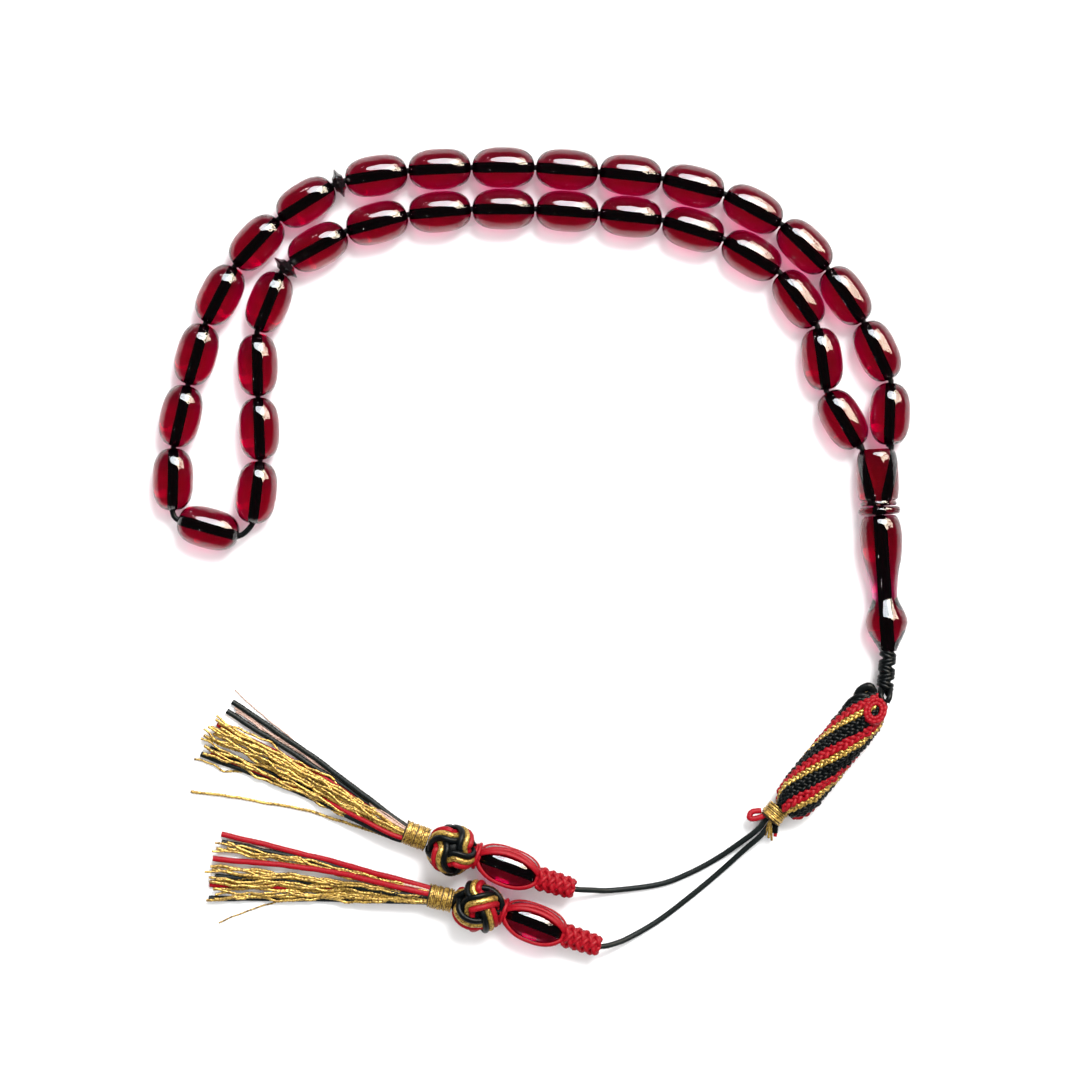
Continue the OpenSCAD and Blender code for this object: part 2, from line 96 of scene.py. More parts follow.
def resin_material(name, tint, density):
    """Clear cast resin: smooth, and dark only through its depth."""
    material, tree, bsdf = new_material(name)
    bsdf.inputs["Base Color"].default_value = (1.0, 0.93, 0.94, 1)
    bsdf.inputs["Roughness"].default_value = 0.012
    bsdf.inputs["IOR"].default_value = 1.5
    bsdf.inputs["Transmission Weight"].default_value = 1
    absorb = node(tree, "ShaderNodeVolumeAbsorption", Color=(*tint, 1), Density=density)
    tree.links.new(absorb.outputs[0], tree.nodes["Material Output"].inputs["Volume"])
    waves = node(tree, "ShaderNodeTexNoise", Scale=260, Detail=1)
    bump = node(tree, "ShaderNodeBump", Strength=0.012, Distance=0.0006)
    where = node(tree, "ShaderNodeTexCoord")
    tree.links.new(where.outputs["Object"], waves.inputs["Vector"])
    tree.links.new(waves.outputs["Fac"], bump.inputs["Height"])
    tree.links.new(bump.outputs[0], bsdf.inputs["Normal"])
    return material


def cord_material(name, dark, light, roughness, specular, scale):
    """Fine round-braided cord: its colour varies from filament to filament."""
    material, tree, bsdf = new_material(name)
    where = node(tree, "ShaderNodeTexCoord")
    grain = node(tree, "ShaderNodeTexNoise", Scale=scale, Detail=3, Roughness=0.6)
    ramp = node(tree, "ShaderNodeValToRGB")
    ramp.color_ramp.elements[0].position = 0.33
    ramp.color_ramp.elements[0].color = (*dark, 1)
    ramp.color_ramp.elements[1].position = 0.68
    ramp.color_ramp.elements[1].color = (*light, 1)
    rough = node(tree, "ShaderNodeMapRange")
    rough.inputs["To Min"].default_value = roughness - 0.1
    rough.inputs["To Max"].default_value = roughness + 0.12
    bump = node(tree, "ShaderNodeBump", Strength=0.45, Distance=0.00008)
    tree.links.new(where.outputs["Object"], grain.inputs["Vector"])
    tree.links.new(grain.outputs["Fac"], ramp.inputs["Fac"])
    tree.links.new(ramp.outputs["Color"], bsdf.inputs["Base Color"])
    tree.links.new(grain.outputs["Fac"], rough.inputs["Value"])
    tree.links.new(rough.outputs["Result"], bsdf.inputs["Roughness"])
    tree.links.new(grain.outputs["Fac"], bump.inputs["Height"])
    tree.links.new(bump.outputs[0], bsdf.inputs["Normal"])
    bsdf.inputs["Specular IOR Level"].default_value = specular
    return material


def gold_material(name, dark, light, scale):
    """Metal-covered thread: flat facets, each given a lighter or darker base colour, painted glints and
    painted shade as if turned towards or away from the light.
    """
    material, tree, bsdf = new_material(name)
    where = node(tree, "ShaderNodeTexCoord")
    facets_and_glints = node(tree, "ShaderNodeTexVoronoi", Scale=scale)
    ramp = node(tree, "ShaderNodeValToRGB")
    ramp.color_ramp.elements[0].position = 0.12
    ramp.color_ramp.elements[0].color = (*dark, 1)
    ramp.color_ramp.elements[1].position = 0.7
    ramp.color_ramp.elements[1].color = (*light, 1)
    split = node(tree, "ShaderNodeSeparateColor")
    bump = node(tree, "ShaderNodeBump", Strength=0.3, Distance=0.0001)
    tree.links.new(where.outputs["Object"], facets_and_glints.inputs["Vector"])
    # painted glints and painted shade: each cell's colour picks a base colour between the dark and the light
    # gold
    tree.links.new(facets_and_glints.outputs["Color"], split.inputs[0])
    tree.links.new(split.outputs[0], ramp.inputs["Fac"])
    tree.links.new(ramp.outputs["Color"], bsdf.inputs["Base Color"])
    tree.links.new(facets_and_glints.outputs["Distance"], bump.inputs["Height"])
    tree.links.new(bump.outputs[0], bsdf.inputs["Normal"])
    bsdf.inputs["Metallic"].default_value = 0.45
    bsdf.inputs["Roughness"].default_value = 0.4
    return material


def gloss_material(name, colour, roughness):
    """A plain dark surface, faintly clouded."""
    material, tree, bsdf = new_material(name)
    where = node(tree, "ShaderNodeTexCoord")
    cloud = node(tree, "ShaderNodeTexNoise", Scale=900, Detail=2)
    ramp = node(tree, "ShaderNodeValToRGB")
    ramp.color_ramp.elements[0].color = (*[c * 0.6 for c in colour], 1)
    ramp.color_ramp.elements[1].color = (*[c * 1.4 for c in colour], 1)
    tree.links.new(where.outputs["Object"], cloud.inputs["Vector"])
    tree.links.new(cloud.outputs["Fac"], ramp.inputs["Fac"])
    tree.links.new(ramp.outputs["Color"], bsdf.inputs["Base Color"])
    bsdf.inputs["Roughness"].default_value = roughness
    return material


RESIN = resin_material("dark_red_resin", (0.822, 0.01, 0.54), 700)
# painted light: a lighter copy of the resin for the tassel beads, brighter red to stand in for the red light
# their net cords throw into them
RESIN_WITH_PAINTED_GLOW = resin_material("red_resin", (0.835, 0.02, 0.52), 600)
BORE = gloss_material("black_bore", (0.002, 0.0015, 0.002), 0.9)
BORE.node_tree.nodes["Principled BSDF"].inputs["Specular IOR Level"].default_value = 0
JET = gloss_material("jet", (0.01, 0.007, 0.008), 0.08)
BLACK = cord_material("black_cord", (0.002, 0.0032, 0.0032), (0.0096, 0.0145, 0.014), 0.42, 0.12, 5200)
WAXED = cord_material("waxed_black_cord", (0.0006, 0.0009, 0.001), (0.004, 0.0055, 0.006), 0.32, 0.09, 4200)
RED = cord_material("red_cord", (0.19, 0.0016, 0.0055), (0.40, 0.0055, 0.015), 0.45, 0.1, 4200)
# GOLD: its dark and light colours are painted shade and painted glints on the thread's facets
GOLD = gold_material("gold_thread", (0.13, 0.065, 0.009), (0.52, 0.335, 0.07), 3200)
# painted shade: the dark colour of the wrappings' core, shown in the gaps between turns of gold thread
SHADE = gloss_material("shaded_thread", (0.035, 0.018, 0.004), 0.8)
PEACH = cord_material("peach_yarn", (0.36, 0.20, 0.14), (0.62, 0.45, 0.38), 0.5, 0.3, 3000)
PAINT = {"red": RED, "black": BLACK, "gold": GOLD, "peach": PEACH}
WAXED_PAINT = {**PAINT, "black": WAXED}


# ---------------------------------------------------------------- mesh tools
class Soup:
    """Vertices and faces collected for one piece, each face with the number of its material."""

    def __init__(self):
        self.points, self.faces, self.paint, self.count = [], [], [], 0

    def add(self, points, faces, paint=0):
        self.points.append(np.asarray(points, float))
        self.faces.extend(tuple(i + self.count for i in f) for f in faces)
        self.paint.extend([paint] * len(faces))
        self.count += len(points)

    def mesh(self, name, materials):
        data = bpy.data.meshes.new(name)
        data.from_pydata(np.vstack(self.points).tolist(), [], self.faces)
        data.polygons.foreach_set("material_index", self.paint)
        data.polygons.foreach_set("use_smooth", [True] * len(self.faces))
        for material in materials:
            data.materials.append(material)
        data.update()
        return data


def place(name, data, body, nodes, matrix=None):
    """Makes the piece, on its body, in place of its CAD nodes."""
    piece = bpy.data.objects.new(name, data)
    bpy.context.scene.collection.objects.link(piece)
    if matrix is not None:
        piece.matrix_world = matrix
    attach(piece, body)
    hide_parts(*nodes)
    return piece


def frames(path):
    """Tangent, side and top at each point of a line, carried along it without twist."""
    p = np.asarray(path, float)
    t = np.gradient(p, axis=0)
    t /= np.linalg.norm(t, axis=1)[:, None]
    side = np.cross(t[0], (0, 0, 1)) if abs(t[0][2]) < 0.95 else np.cross(t[0], (0, 1, 0))
    sides = []
    for k in range(len(p)):
        side = side - np.dot(side, t[k]) * t[k]
        side = side / np.linalg.norm(side)
        sides.append(side)
    s = np.array(sides)
    return p, t, s, np.cross(s, t)


def lengths(p):
    """How far along the line each of its points is."""
    return np.concatenate([[0], np.cumsum(np.linalg.norm(np.diff(p, axis=0), axis=1))])


def resampled(path, step):
    """The same line with its points about a step apart."""
    p = np.asarray(path, float)
    along = lengths(p)
    n = max(3, int(round(along[-1] / step)) + 1)
    at = np.linspace(0, along[-1], n)
    return np.stack([np.interp(at, along, p[:, k]) for k in range(3)], axis=1)


def smooth(points, per=12):
    """A smooth line through the points (Catmull-Rom)."""
    p = [Vector(q) for q in points]
    out = []
    for i in range(len(p) - 1):
        a, b, c, d = p[max(i - 1, 0)], p[i], p[i + 1], p[min(i + 2, len(p) - 1)]
        for j in range(per):
            t = j / per
            out.append(0.5 * (2 * b + t * (c - a) + t * t * (2 * a - 5 * b + 4 * c - d)
                              + t ** 3 * (3 * b - a - 3 * c + d)))
    out.append(p[-1])
    return np.array([tuple(v) for v in out])


def band_faces(a, b, sides):
    """The faces between two rings of points, whose first points are a and b."""
    return [(a + k, a + (k + 1) % sides, b + (k + 1) % sides, b + k) for k in range(sides)]


def tube(soup, path, radius, sides, relief=None, paint=0, round_ends=False):
    """A tube along path. relief(s, angle) scales its radius."""
    p, _, s, u = frames(path)
    along = lengths(p)
    angle = np.linspace(0, TAU, sides, endpoint=False)
    r = np.full((len(p), sides), radius, float)
    if relief is not None:
        r = r * relief(along[:, None], angle[None, :])
    if round_ends:
        for k, f in enumerate((0.45, 0.8, 0.95)):
            r[k] *= f
            r[-1 - k] *= f
    x, y = r * np.cos(angle), r * np.sin(angle)
    rings = p[:, None, :] + x[..., None] * s[:, None, :] + y[..., None] * u[:, None, :]
    faces = []
    for i in range(len(p) - 1):
        a, b = i * sides, (i + 1) * sides
        faces += [(a + k, b + k, b + (k + 1) % sides, a + (k + 1) % sides) for k in range(sides)]
    faces.append(tuple(range(sides)))
    faces.append(tuple((len(p) - 1) * sides + k for k in reversed(range(sides))))
    soup.add(rings.reshape(-1, 3), faces, paint)


def braid_relief(strands, pitch, depth):
    """The surface of a round braid: ridges that cross both ways round."""
    def relief(s, a):
        one = np.abs(np.cos(strands * a / 2 + math.pi * s / pitch))
        two = np.abs(np.cos(strands * a / 2 - math.pi * s / pitch))
        return 1 - depth + depth * np.maximum(one, two)
    return relief


def twist_relief(plies, pitch, depth):
    """The surface of a twisted thread."""
    def relief(s, a):
        return 1 - depth + depth * np.abs(np.cos(plies * (a - TAU * s / pitch) / 2))
    return relief


FINE_BRAID = braid_relief(6, 0.9 * MM, 0.18)


def turned(outline, sides):
    """The rings of points of a turned piece along X, from its outline of (radius, along)."""
    o = np.asarray(outline, float)
    angle = np.linspace(0, TAU, sides, endpoint=False)
    return np.stack([np.repeat(o[:, 1], sides), np.outer(o[:, 0], np.cos(angle)).ravel(),
                     np.outer(o[:, 0], np.sin(angle)).ravel()], axis=1)


def lathe(outline, sides):
    """A turned piece with a bore. The outline is closed, and its last segment is the wall of the bore."""
    n = len(outline)
    outer = [f for i in range(n - 1) for f in band_faces(i * sides, (i + 1) * sides, sides)]
    bore = band_faces((n - 1) * sides, 0, sides)
    soup = Soup()
    soup.add(turned(outline, sides), outer)
    soup.faces.extend(bore)
    soup.paint.extend([1] * len(bore))
    return soup


def solid_lathe(outline, sides):
    """A turned piece without a bore, closed by a point at each end."""
    n = len(outline)
    points = np.vstack([turned(outline, sides), [[outline[0][1], 0, 0], [outline[-1][1], 0, 0]]])
    faces = [f for i in range(n - 1) for f in band_faces(i * sides, (i + 1) * sides, sides)]
    faces += [(n * sides, (k + 1) % sides, k) for k in range(sides)]
    last = (n - 1) * sides
    faces += [(n * sides + 1, last + k, last + (k + 1) % sides) for k in range(sides)]
    soup = Soup()
    soup.add(points, faces)
    return soup


def add_turned(soup, part, seat, paint=0):
    """Adds a turned piece to the soup where the seat says."""
    m = np.array(seat.matrix())
    soup.add(np.vstack(part.points) @ m[:3, :3].T + m[:3, 3], part.faces, paint)


# ---------------------------------------------------------------- places taken from the frame
class Seat:
    """Where a piece lies: its middle, the way it points, and a side and a top axis."""

    def __init__(self, middle, ahead):
        self.middle = Vector(middle)
        self.ahead = Vector(ahead).normalized()
        self.right = self.ahead.cross(UP).normalized()
        self.top = self.right.cross(self.ahead)

    def at(self, ahead, right=0.0, top=0.0):
        """The point this far from the middle, along each axis."""
        return self.middle + ahead * self.ahead + right * self.right + top * self.top

    def matrix(self):
        """The placing of a piece that was made along X, with its top at Z."""
        m = Matrix.Identity(4)
        for k, axis in enumerate((self.ahead, -self.right, self.top)):
            m[0][k], m[1][k], m[2][k] = axis
        m.translation = self.middle
        return m


def turned_seat(name, towards):
    """The seat of a turned CAD piece, with its length, from its own surface."""
    data = frame["nodes"][name].data
    data.calc_loop_triangles()
    co = np.array([v.co for v in data.vertices])
    tri = co[np.array([t.vertices for t in data.loop_triangles])]
    area = np.linalg.norm(np.cross(tri[:, 1] - tri[:, 0], tri[:, 2] - tri[:, 0]), axis=1)
    centre = (tri.mean(1) * area[:, None]).sum(0) / area.sum()
    d = tri.mean(1) - centre
    values, axes = np.linalg.eigh((d * area[:, None]).T @ d)
    spread = sorted(range(3), key=lambda k: values[k])
    gap_low, gap_high = values[spread[1]] - values[spread[0]], values[spread[2]] - values[spread[1]]
    axis = axes[:, spread[2] if gap_high > gap_low else spread[0]]
    axis[2] = 0
    axis /= np.linalg.norm(axis)
    if np.dot(axis, towards) < 0:
        axis = -axis
    reach = (co - centre) @ axis
    seat = Seat(Vector(centre) + Vector(axis) * float(reach.max() + reach.min()) / 2, axis)
    seat.length = float(reach.max() - reach.min())
    return seat


def barrel(length, diameter, bore, full, n):
    """The outline of a barrel bead as (radius, along), from one bore mouth to the other."""
    e = math.acos((bore / diameter) ** (full / 2))
    out = []
    for k in range(n + 1):
        t = -e + 2 * e * k / n
        out.append((diameter / 2 * math.cos(t) ** (2 / full),
                    length / 2 * math.copysign(abs(math.sin(t)) ** (2 / full), t)))
    return out


# ---------------------------------------------------------------- sizes that the pieces share
BEADS = 33
bead_l, bead_d, bead_full = 13 * MM, 8.5 * MM, 2.6
bore_d = 1.5 * MM
string_d = 1.2 * MM
separator_d, separator_t = 6.2 * MM, 2.3 * MM
head_d = 8.8 * MM
shaft_l, ring_t, junction_l = 28.2 * MM, 1.6 * MM, 11.8 * MM
head_gap = 0.25 * MM
pair_r = 0.97 * MM  # the bore that both ends of the string share
leg_foot, leg_mouth = 0.63 * MM, 2.99 * MM  # how far off the axis the junction's bores start and end
held_d = 7.6 * MM
cord_d = 1.2 * MM
ball_d = 11 * MM
wrap_d, collar_d = 4.9 * MM, 5 * MM


# ---------------------------------------------------------------- tassel cords
def cord_points(joint, steps):
    """The route's points, from steps off the joint, each with its height above the ground."""
    start = Vector(JOINTS[joint]["pos_m"])
    return [Vector((start.x + x * MM, start.y + y * MM, z * MM)) for x, y, z in steps]


A_STEPS = [(0, 0, 3.2), (-1.7, -2.2, 2.9), (-5.1, -4.9, 1.9), (-9.9, -8.3, 0.85), (-15.6, -11.4, 0.62),
           (-22, -13.8, 0.62), (-31.6, -15, 1.2), (-36.2, -14.8, 2.9), (-40, -14.4, 4.5)]
B_STEPS = [(0, 0, 3.2), (-2.4, -2.9, 2.9), (-5.4, -5.6, 1.9), (-10.6, -10.4, 0.85), (-16.8, -15.6, 0.62),
           (-23.1, -20.4, 0.62), (-28.6, -23.6, 1.3), (-32.2, -25, 2.9), (-35.7, -25.5, 4.5)]


def tassel_cord(k, steps, cap, bead):
    """A tassel's cord, from the braid's wrapping through the cap and the bead."""
    letter = "ab"[k]
    points = cord_points(f"tassel_{letter}_swing", steps)
    points = [points[0] * 1.1 - points[1] * 0.1] + points
    points += [cap.at(0), cap.at(cap.length / 2), bead.at(0), bead.at(bead_l * 0.49)]
    path = resampled(smooth(points), 0.14 * MM)
    soup = Soup()
    tube(soup, path, cord_d / 2, 20, FINE_BRAID)
    piece = place(f"tassel_cord_{letter}", soup.mesh("tassel_cord", [BLACK]), f"tassel_{letter}",
                  [f"tail_cord_{letter}"])


LEFT = np.array((-1.0, 0.25, 0.0))
CAPS = [turned_seat("tassel_cap_a", LEFT), turned_seat("tassel_cap_b", LEFT)]
HELD = [turned_seat("tassel_bead_a", LEFT), turned_seat("tassel_bead_b", LEFT)]
COLLARS = [turned_seat("tassel_wrap_a", LEFT), turned_seat("tassel_wrap_b", LEFT)]
for k, steps in enumerate((A_STEPS, B_STEPS)):
    tassel_cord(k, steps, CAPS[k], HELD[k])


# ---------------------------------------------------------------- beads
def make_beads():
    outline = barrel(bead_l, bead_d, bore_d, bead_full, 40)
    data = lathe(outline, 72).mesh("bead", [RESIN, BORE])
    data.set_sharp_from_angle(angle=math.radians(50))
    for n in range(1, BEADS + 1):
        name = f"bead_{n:02d}"
        spin = SPINS[name + "_body"]
        seat = Seat(spin["pos_m"], spin["axis"])
        turn = Matrix.Rotation(n * 2.4, 4, "X")
        barrel_mesh = data.copy()
        barrel_mesh.transform(seat.matrix() @ turn)
        place(name + "_barrel", barrel_mesh, name + "_body", [name])


def make_separators():
    r, d, t = bore_d / 2, separator_d, separator_t
    half = [(r + 0.45 * MM, t / 2), (r + 0.75 * MM, t * 0.47), (d * 0.30, t * 0.29), (d * 0.40, t * 0.17),
            (d * 0.485, t * 0.07), (d / 2, t * 0.03)]
    outline = [(r, -t / 2)] + [(x, -y) for x, y in half] + half[::-1] + [(r, t / 2)]
    data = lathe(outline, 72).mesh("separator", [JET, BORE])
    data.set_sharp_from_angle(angle=math.radians(40))
    for n in (1, 2):
        name = f"separator_{n}"
        spin = SPINS[name + "_body"]
        seat = Seat(spin["pos_m"], spin["axis"])
        place(name + "_disc", data, name + "_body", [name], seat.matrix())


def rounded(outline, per=4):
    """The outline with extra points on a smooth line through it."""
    return [(max(q[0], 0), q[1]) for q in smooth([(r, x, 0) for r, x in outline], per)]


# Outlines as (radius, along), in diameters and lengths, from the end nearer the tail
JUNCTION = [(0.40, -0.5), (0.425, -0.485), (0.43, -0.46), (0.41, -0.43), (0.405, -0.41), (0.45, -0.385),
            (0.475, -0.33), (0.492, -0.22), (0.5, -0.08), (0.498, 0.08), (0.49, 0.23), (0.475, 0.33),
            (0.455, 0.4), (0.425, 0.45), (0.385, 0.485), (0.33, 0.5)]
SHAFT = [(0.2, -0.5), (0.26, -0.46), (0.33, -0.425), (0.42, -0.37), (0.475, -0.325), (0.498, -0.3),
         (0.494, -0.27), (0.472, -0.24), (0.42, -0.2), (0.355, -0.155), (0.31, -0.12), (0.3, -0.09),
         (0.31, -0.04), (0.35, 0.05), (0.4, 0.12), (0.44, 0.17), (0.475, 0.24), (0.496, 0.3), (0.5, 0.36),
         (0.487, 0.41),
         (0.46, 0.45), (0.42, 0.48), (0.36, 0.5)]


def head_seats():
    """The seats of the junction bead, the ring and the shaft."""
    shaft = Seat(SPINS["head_shaft_body"]["pos_m"], SPINS["head_shaft_body"]["axis"])
    ring = Seat(SPINS["head_ring_body"]["pos_m"], SPINS["head_ring_body"]["axis"])
    lean = Vector((0.0175, 0, 0))
    junction = Seat(ring.at(ring_t / 2 + head_gap + junction_l / 2), ring.ahead + lean)
    return junction, ring, shaft


def make_head():
    junction, ring, shaft = head_seats()
    outer = rounded([(r * head_d, x * shaft_l) for r, x in SHAFT])
    outline = [(pair_r, -shaft_l / 2)] + outer + [(pair_r, shaft_l / 2)]
    data = lathe(outline, 80).mesh("shaft", [RESIN, BORE])
    data.set_sharp_from_angle(angle=math.radians(50))
    place("head_shaft_turned", data, "head_shaft_body", ["head_shaft"], shaft.matrix())

    d, t = head_d, ring_t
    half = [(d * 0.43, t * 0.5), (d * 0.462, t * 0.46), (d * 0.485, t * 0.32), (d * 0.497, t * 0.14)]
    outline = [(pair_r, -t / 2)] + [(x, -y) for x, y in half] + half[::-1] + [(pair_r, t / 2)]
    data = lathe(outline, 80).mesh("ring", [RESIN, BORE])
    data.set_sharp_from_angle(angle=math.radians(50))
    place("head_ring_turned", data, "head_ring_body", ["head_ring"], ring.matrix())

    l = junction_l
    soup = solid_lathe(rounded([(r * head_d, x * l) for r, x in JUNCTION]), 80)
    data = soup.mesh("junction", [RESIN, BORE])
    data.flip_normals()
    piece = place("junction_barrel", data, "string", ["junction_bead"], junction.matrix())
    for side in (1, -1):
        leg = Soup()
        foot, mouth = (-l * 0.56, -leg_foot * side, 0), (l * 0.55, -leg_mouth * side, 0)
        tube(leg, resampled([foot, mouth], l / 8), bore_d / 2, 40, paint=1)
        cutter = bpy.data.objects.new("cutter", leg.mesh("cutter", [RESIN, BORE]))
        bpy.context.scene.collection.objects.link(cutter)
        cutter.matrix_world = junction.matrix()
        cut = piece.modifiers.new("bore", "BOOLEAN")
        cut.object, cut.solver, cut.operation = cutter, "EXACT", "DIFFERENCE"
        bpy.context.view_layer.update()
        cut_piece = piece.evaluated_get(bpy.context.evaluated_depsgraph_get())
        bored = bpy.data.meshes.new_from_object(cut_piece)
        piece.modifiers.clear()
        piece.data = bored
        bpy.data.objects.remove(cutter)
    piece.data.set_sharp_from_angle(angle=math.radians(40))
    return junction, ring, shaft


make_beads()
make_separators()
junction, ring, shaft = make_head()


# ---------------------------------------------------------------- string and neck
def make_string():
    """The stringing cord: up through the head, round through every bead, and down through the head again."""
    lane, foot = 0.36 * MM, 0.6 * MM
    tail_end, top_end, half = -shaft_l / 2 + 0.1 * MM, shaft_l / 2, junction_l / 2
    points = [shaft.at(tail_end, lane), shaft.at(top_end, lane), junction.at(-half, foot),
              junction.at(half, leg_mouth)]
    for n in range(1, BEADS + 1):
        spin = SPINS[f"bead_{n:02d}_body"]
        seat = Seat(spin["pos_m"], spin["axis"])
        points += [seat.at(bead_l * share) for share in (-0.5, -0.2, 0.2, 0.5)]
    points += [junction.at(half, -leg_mouth), junction.at(-half, -foot), shaft.at(top_end, -lane),
               shaft.at(tail_end, -lane)]
    soup = Soup()
    tube(soup, resampled(smooth(points, 8), 0.22 * MM), string_d / 2, 16, FINE_BRAID)
    place("string", soup.mesh("string", [WAXED]), "string", ["string_loop"])


def round_braid(soup, seat, length, radius, each, turns, thick, wave, relief=None, step=0.25 * MM):
    """A round braid of strands that go over and under each other, each one a tube."""
    n = max(8, int(length / step))
    for way in (1, -1):
        for k in range(each):
            path = []
            for i in range(n + 1):
                t = i / n
                turn = way * TAU * turns * t + TAU * k / each
                out = radius(t) + way * wave * math.cos(TAU * turns * each * t)
                path.append(seat.at((t - 0.5) * length, out * math.cos(turn), out * math.sin(turn)))
            tube(soup, path, thick, 10, relief, round_ends=True)


def make_neck():
    """Rows of knots, two turns each, over a braided core, and the two legs that enter the braid's eye."""
    l, strand_r, row_r, lean = 9.4 * MM, 0.6 * MM, 1.24 * MM, 0.5 * MM
    seat = turned_seat("neck_knots", np.array((0.0, -1.0, 0.0)))
    soup = Soup()
    for row in range(5):
        t = (row + 0.5) / 6
        slant = lean if row % 2 else -lean
        for pair in (-0.4 * MM, 0.4 * MM):
            path = []
            for i in range(29):
                a = TAU * i / 28
                path.append(seat.at((t - 0.5) * l + pair + slant * math.cos(a), row_r * math.cos(a),
                                    row_r * math.sin(a)))
            tube(soup, path, strand_r, 12, FINE_BRAID)
    round_braid(soup, seat, l, lambda t: 0.75 * MM, 2, 1.0, 0.55 * MM, 0.2 * MM)
    for side in (1, -1):
        path = smooth([seat.at(l * 0.2, side * 0.5 * MM), seat.at(l * 0.34, side * 0.95 * MM, 0.7 * MM),
                       seat.at(l * 0.5, side * 0.9 * MM, 2.0 * MM),
                       seat.at(l * 0.63, side * 0.45 * MM, 2.2 * MM)])
        tube(soup, resampled(path, 0.15 * MM), strand_r, 14, FINE_BRAID)
    place("neck_macrame", soup.mesh("neck", [WAXED]), "tail", ["neck_knots"])


make_string()
make_neck()


# ---------------------------------------------------------------- spiral braid
braid_l, braid_d, braid_turn = 31 * MM, 8.6 * MM, 56 * MM
braid_way = math.radians(231)
TAIL_WAY = np.array((math.cos(braid_way), math.sin(braid_way), 0))
PERIODS = 4


def braid_seat():
    """The braid's seat: from the middle of its CAD solid, along the tail."""
    lo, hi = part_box("spiral_braid")
    return Seat(((lo.x + hi.x) / 2, (lo.y + hi.y) / 2, braid_d / 2), TAIL_WAY)


def braid_radius(t):
    """How full the braid is at a share t of its length: it draws in at both ends."""
    start = 1 - 0.6 * max(0, 1 - t / 0.2) ** 2
    end = 1 - 0.5 * max(0, 1 - (1 - t) / 0.16) ** 2
    return start * end


def stripe(soup, seat, first, width, strands, thick, wave, lift=0.0):
    """One stripe of the braid: a flat plait that runs round it. It first crosses the top at first."""
    slope = math.atan(math.pi * braid_d / braid_turn)
    core = braid_d / 2 - thick - 0.12 * MM
    rng = random.Random(int(first * 1e7))
    n = 190
    for k in range(strands):
        path = []
        slips = [rng.uniform(0, TAU) for _ in range(3)]
        for i in range(n + 1):
            t = i / n
            s = t * braid_l
            slip = sum(math.sin(TAU * s / (m * MM) + a) for m, a in zip((1.9, 3.1, 5.3), slips)) * 0.07 * MM
            phase = TAU * s / math.cos(slope) / wave + TAU * k / strands
            across = width * math.sin(phase) + slip
            out = (core + lift + slip + 0.36 * MM * math.sin(2 * phase)) * braid_radius(t)
            turn = math.pi / 2 - TAU * (s - first) / braid_turn + across * math.cos(slope) / core
            path.append(seat.at(s - braid_l / 2 + across * math.sin(slope), out * math.cos(turn),
                                out * math.sin(turn)))
        tube(soup, path, thick, 10, twist_relief(3, 1.2 * MM, 0.24), round_ends=True)


def make_braid():
    seat = braid_seat()
    colours = {"red": Soup(), "gold": Soup(), "black": Soup()}
    period = braid_turn / PERIODS
    red_at, gold_at, black_at = -1.2 * MM, 2.8 * MM, 7.6 * MM
    for k in range(PERIODS):
        stripe(colours["red"], seat, red_at + k * period, 0.66 * MM, 3, 0.52 * MM, 4.4 * MM, 0.1 * MM)
        stripe(colours["gold"], seat, gold_at + k * period, 0.48 * MM, 3, 0.36 * MM, 3.4 * MM, 0.05 * MM)
        for side in (-1, 1):
            stripe(colours["black"], seat, black_at + k * period + side * 1.5 * MM, 0.46 * MM, 3, 0.46 * MM,
                   3.9 * MM, 0.1 * MM)
    core_r, tip_r = braid_d / 2 - 0.95 * MM, 0.02 * MM
    core = [(tip_r, -braid_l * 0.47)]
    core += [(core_r * braid_radius(t), (t - 0.5) * braid_l * 0.96) for t in [0.02 * k for k in range(51)]]
    core += [(tip_r, braid_l * 0.48)]
    add_turned(colours["black"], solid_lathe(core, 24), seat)
    loop_and_stubs(seat, colours)
    for name, soup in colours.items():
        data = soup.mesh("spiral_" + name, [WAXED_PAINT[name]])
        place("spiral_braid_" + name, data, "tail", ["spiral_braid"])


